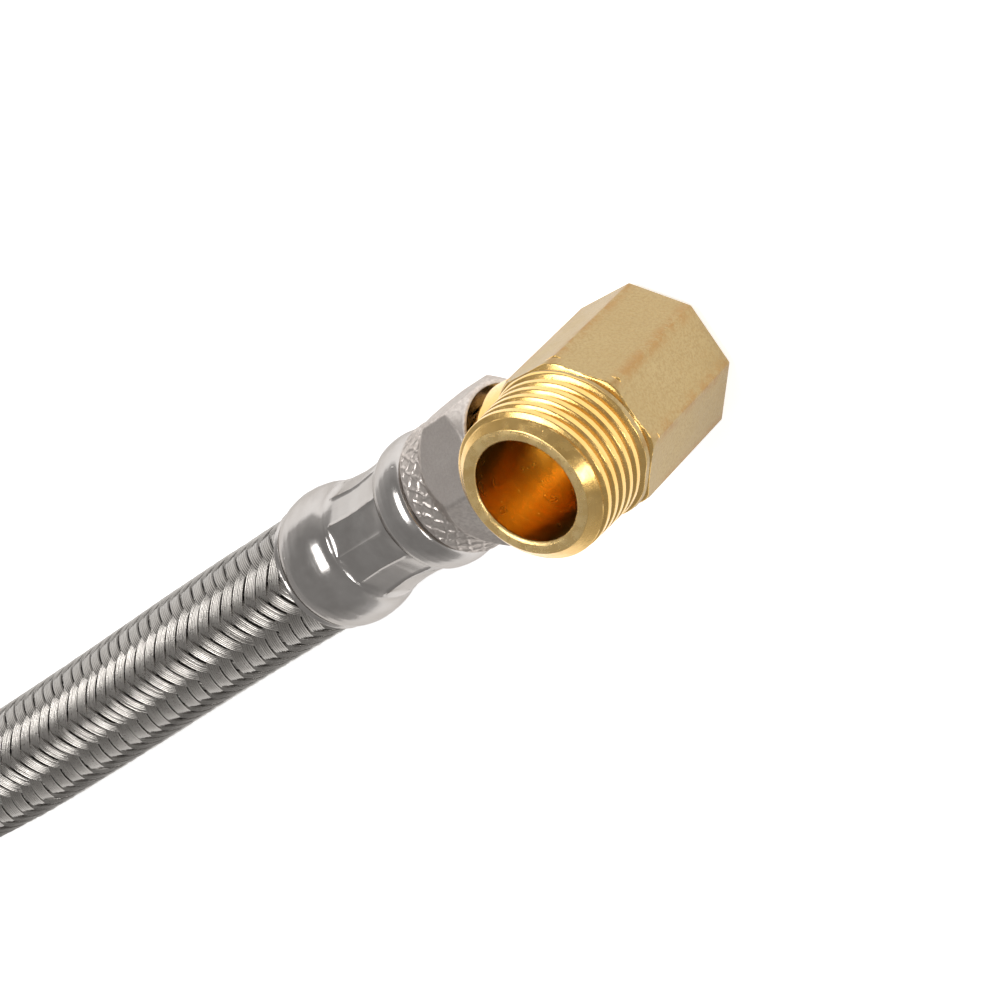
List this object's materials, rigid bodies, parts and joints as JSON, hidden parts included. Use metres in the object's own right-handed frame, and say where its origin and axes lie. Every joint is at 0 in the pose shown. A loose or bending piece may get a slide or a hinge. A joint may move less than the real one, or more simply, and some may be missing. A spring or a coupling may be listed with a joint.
{
  "type": "flare fitting",
  "caption": "Braided flexible gas hose with crimped ferrules and hexagon flare nuts; its near nut carries a brass right-angle elbow with a male taper pipe thread.",
  "frame": {"origin": "where the axes of the elbow's two ports cross, 11.4 mm above the surface that the nuts and the hose lie on", "axes": "+Z leaves through the pipe thread, -X runs along the flare port towards the hose, and the hose lies along it, level"},
  "size_m": [0.3295, 0.0599, 0.0358],
  "materials": {
    "elbow_brass": "forged block with a fine sand grain, threads and bore freshly cut",
    "nut_steel": "plated, dull satin, with fine turning marks",
    "ferrule_steel": "bright drawn stainless, marked by the crimping jaws",
    "stem_steel": "turned",
    "braid_steel": "bright woven wire",
    "liner_rubber": "matt black"
  },
  "bodies": {
    "hose": {"hose_stem": "stem_steel", "crimp_ferrule": "ferrule_steel", "hose_liner": "liner_rubber", "hose_braid": "braid_steel", "end_ferrule": "ferrule_steel", "end_stem": "stem_steel"},
    "near_nut": {"flare_nut": "nut_steel"},
    "elbow": {"elbow_body": "elbow_brass"},
    "end_nut": {"end_flare_nut": "nut_steel"}
  },
  "joints": [
    {"name": "near_nut_spin", "type": "hinge", "parent": "hose", "child": "near_nut", "pos_m": [-0.0185, 0, 0], "axis": [0.9977, 0.068, 0], "continuous": true},
    {"name": "elbow_swivel", "type": "hinge", "parent": "hose", "child": "elbow", "pos_m": [0, 0, 0], "axis": [1, 0, 0], "continuous": true},
    {"name": "end_nut_spin", "type": "hinge", "parent": "hose", "child": "end_nut", "pos_m": [-0.30848, 0.02864, 0], "axis": [-0.93, 0.3677, 0], "continuous": true}
  ]
}
